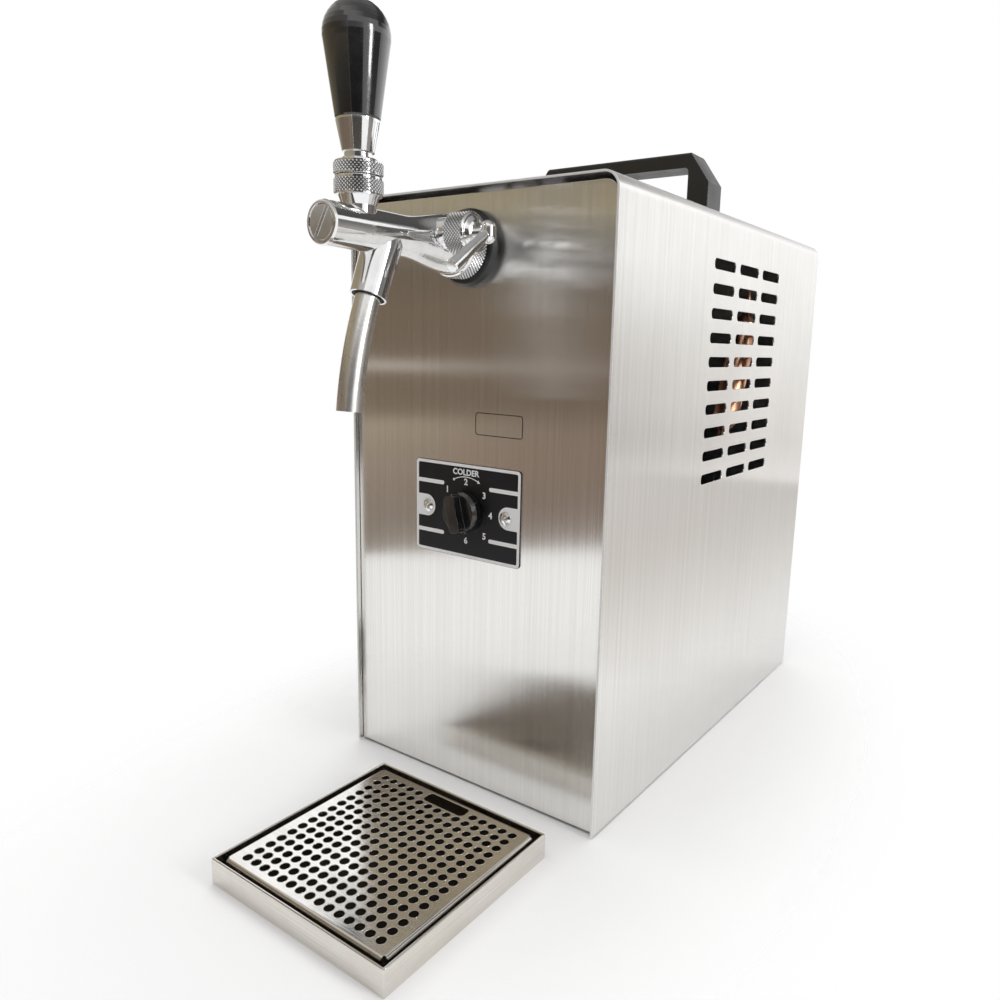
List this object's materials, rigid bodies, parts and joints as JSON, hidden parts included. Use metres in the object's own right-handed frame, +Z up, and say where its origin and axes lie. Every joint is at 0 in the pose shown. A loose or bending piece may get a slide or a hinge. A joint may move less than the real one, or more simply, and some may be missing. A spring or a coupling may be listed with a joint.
{
  "type": "draft beer dispenser",
  "caption": "Counter-top draft beer cooler in brushed steel with a chromed compensator tap, thermostat dial, carry handle and loose drip tray.",
  "frame": {"origin": "on the counter, under the middle of the whole object's box", "axes": "+X to the user's right, +Y from the tap to the back of the casing, +Z up"},
  "size_m": [0.204, 0.5326, 0.457],
  "materials": {
    "casing_steel": "brushed upright",
    "tray_steel": "fine brushed",
    "spout_steel": "polished",
    "zinc_sheet": "galvanised",
    "zinc_parts": "zinc plated",
    "chrome": "mirror plated",
    "gloss_black": "gloss",
    "satin_black": "satin",
    "dial_black": "printed",
    "enamel_black": "enamelled",
    "copper": "bright copper",
    "brass": "machined",
    "aluminium": "mill finish",
    "foam": "foamed",
    "rubber": "matte"
  },
  "bodies": {
    "casing": {"outer_shell": "casing_steel", "front_panel": "casing_steel", "spout": "spout_steel", "beer_outlet_line": "spout_steel", "beer_inlet_line": "spout_steel", "rear_panel": "zinc_sheet", "base_pan": "zinc_sheet", "condenser_shelf": "zinc_sheet", "condenser_end_plates": "zinc_sheet", "fan_shroud": "zinc_sheet", "motor_bracket": "zinc_sheet", "casing_screws": "zinc_parts", "handle_screws": "zinc_parts", "thermostat_body": "zinc_parts", "foam_spring": "zinc_parts", "inlet_fitting": "zinc_parts", "tap_shank": "chrome", "union_nut": "chrome", "tap_body": "chrome", "front_plug": "chrome", "lever_cap_nut": "chrome", "flow_gland_nut": "chrome", "dial_screws": "chrome", "carry_handle": "satin_black", "tap_rosette": "satin_black", "mains_gland": "satin_black", "terminal_cover": "satin_black", "dial_plate": "dial_black", "compressor": "enamel_black", "fan_motor": "enamel_black", "condenser_coil": "copper", "filter_drier": "copper", "discharge_line": "copper", "liquid_line": "copper", "capillary_tube": "copper", "suction_line": "copper", "sensor_capillary": "copper", "shank_locknut": "brass", "cooling_block": "aluminium", "condenser_fins": "aluminium", "block_insulation": "foam", "rubber_feet": "rubber", "compressor_grommets": "rubber", "tap_seal": "rubber", "gland_oring": "rubber", "spout_oring": "rubber", "inlet_oring": "rubber"},
    "tap_lever": {"lever_stem": "chrome", "handle_locknut": "chrome", "handle_ferrule": "chrome", "tap_handle": "gloss_black"},
    "valve": {"valve_piston": "brass"},
    "flow_control": {"flow_lever": "chrome"},
    "compensator": {"compensator_cone": "brass"},
    "thermostat": {"thermostat_knob": "gloss_black", "thermostat_shaft": "zinc_parts"},
    "fan": {"fan_rotor": "satin_black"},
    "collet": {"inlet_collet": "satin_black"},
    "tray": {"drip_tray": "tray_steel"},
    "grid": {"drip_grid": "tray_steel"}
  },
  "joints": [
    {"name": "lever_pull", "type": "hinge", "parent": "casing", "child": "tap_lever", "pos_m": [0, -0.193, 0.367], "axis": [1, 0, 0], "range_deg": [-12, 28]},
    {"name": "valve_slide", "type": "slide", "parent": "casing", "child": "valve", "axis": [0, 1, 0], "range_m": [-0.0035, 0.0081], "deforming": ["foam_spring"]},
    {"name": "flow_swing", "type": "hinge", "parent": "casing", "child": "flow_control", "pos_m": [0.02, -0.1385, 0.353], "axis": [1, 0, 0], "range_deg": [-90, 60]},
    {"name": "cone_slide", "type": "slide", "parent": "casing", "child": "compensator", "axis": [0, 1, 0], "range_m": [-0.00196, 0.00131]},
    {"name": "dial_turn", "type": "hinge", "parent": "casing", "child": "thermostat", "pos_m": [-0.002, -0.107, 0.1885], "axis": [0, 1, 0], "range_deg": [-45, 195]},
    {"name": "fan_spin", "type": "hinge", "parent": "casing", "child": "fan", "pos_m": [-0.04, 0.131, 0.26], "axis": [1, 0, 0], "continuous": true},
    {"name": "collet_press", "type": "slide", "parent": "casing", "child": "collet", "axis": [0, -1, 0], "range_m": [0, 0.0012]},
    {"name": "tray_draw", "type": "slide", "parent": "casing", "child": "tray", "axis": [0, -1, 0], "range_m": [-0.025, 0.06]},
    {"name": "grid_lift", "type": "slide", "parent": "tray", "child": "grid", "axis": [0, 0, 1], "range_m": [0, 0.05]}
  ],
  "couplings": [
    {"joint": "valve_slide", "follows": "lever_pull", "m_per_rad": 0.0165},
    {"joint": "cone_slide", "follows": "flow_swing", "m_per_rad": 0.00124}
  ]
}
